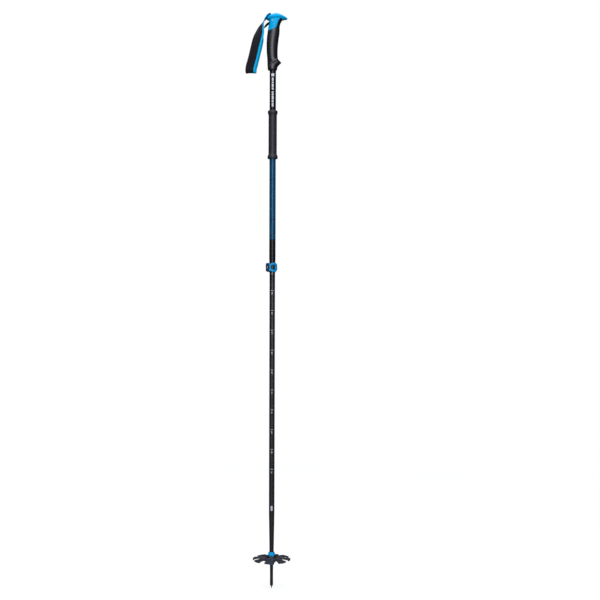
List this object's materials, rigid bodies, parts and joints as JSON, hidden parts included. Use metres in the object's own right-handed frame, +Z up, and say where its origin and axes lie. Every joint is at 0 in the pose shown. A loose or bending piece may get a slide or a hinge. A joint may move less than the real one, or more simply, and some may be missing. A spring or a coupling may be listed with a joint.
{
  "type": "ski pole",
  "caption": "Two-section adjustable ski pole with a windowed cam-lever clamp, petal basket, carbide tip, beaked grip with foam extension, and a webbing wrist strap.",
  "frame": {"origin": "point of the hard tip, with the pole fully extended", "axes": "+Z up the shaft towards the grip, +X towards the beak of the grip, -Y towards the face of the clamp lever; the strap hangs on the -X side"},
  "size_m": [0.1169, 0.0956, 1.45],
  "materials": {
    "carbide": "ground dark carbide",
    "ferrule_plastic": "fine moulded matt",
    "basket_plastic": "moulded satin with ribs",
    "black_plastic": "moulded matt",
    "blue_plastic": "moulded satin gloss",
    "blue_anodised": "blue anodised, fine blasted",
    "shaft_lacquer": "satin lacquer on aluminium tube",
    "steel": "brushed",
    "grip_foam": "closed-cell foam, matt",
    "grip_rubber": "soft-touch satin rubber",
    "webbing": "woven, with a blue edge stripe"
  },
  "bodies": {
    "handle": {"upper_shaft": "shaft_lacquer", "shaft_wiper": "black_plastic", "clamp_sleeve": "black_plastic", "clamp_yoke": "blue_anodised", "clamp_eye_bolt": "steel", "clamp_hinge_pin": "steel", "clamp_cam_pad": "black_plastic", "clamp_washer": "steel", "foam_extension": "grip_foam", "shaft_plug": "black_plastic", "grip_body": "grip_rubber", "grip_head": "blue_plastic", "strap_wedge": "black_plastic", "strap_screw": "steel", "strap_barrel": "steel", "strap": "webbing"},
    "lower_section": {"carbide_tip": "carbide", "tip_ferrule": "ferrule_plastic", "basket": "basket_plastic", "basket_collar": "blue_plastic", "basket_retainer": "blue_plastic", "lower_shaft": "shaft_lacquer", "lower_guide": "black_plastic"},
    "lever": {"clamp_lever": "blue_anodised"},
    "nut": {"clamp_nut": "steel"}
  },
  "joints": [
    {"name": "length_slide", "type": "slide", "parent": "handle", "child": "lower_section", "axis": [0, 0, 1], "range_m": [0, 0.5]},
    {"name": "lever_hinge", "type": "hinge", "parent": "handle", "child": "lever", "pos_m": [-0.0123, -0.0095, 0.8095], "axis": [0, 0, -1], "range_deg": [0, 135]},
    {"name": "nut_turn", "type": "hinge", "parent": "handle", "child": "nut", "pos_m": [-0.0123, 0.013, 0.8095], "axis": [0, 1, 0], "continuous": true}
  ]
}
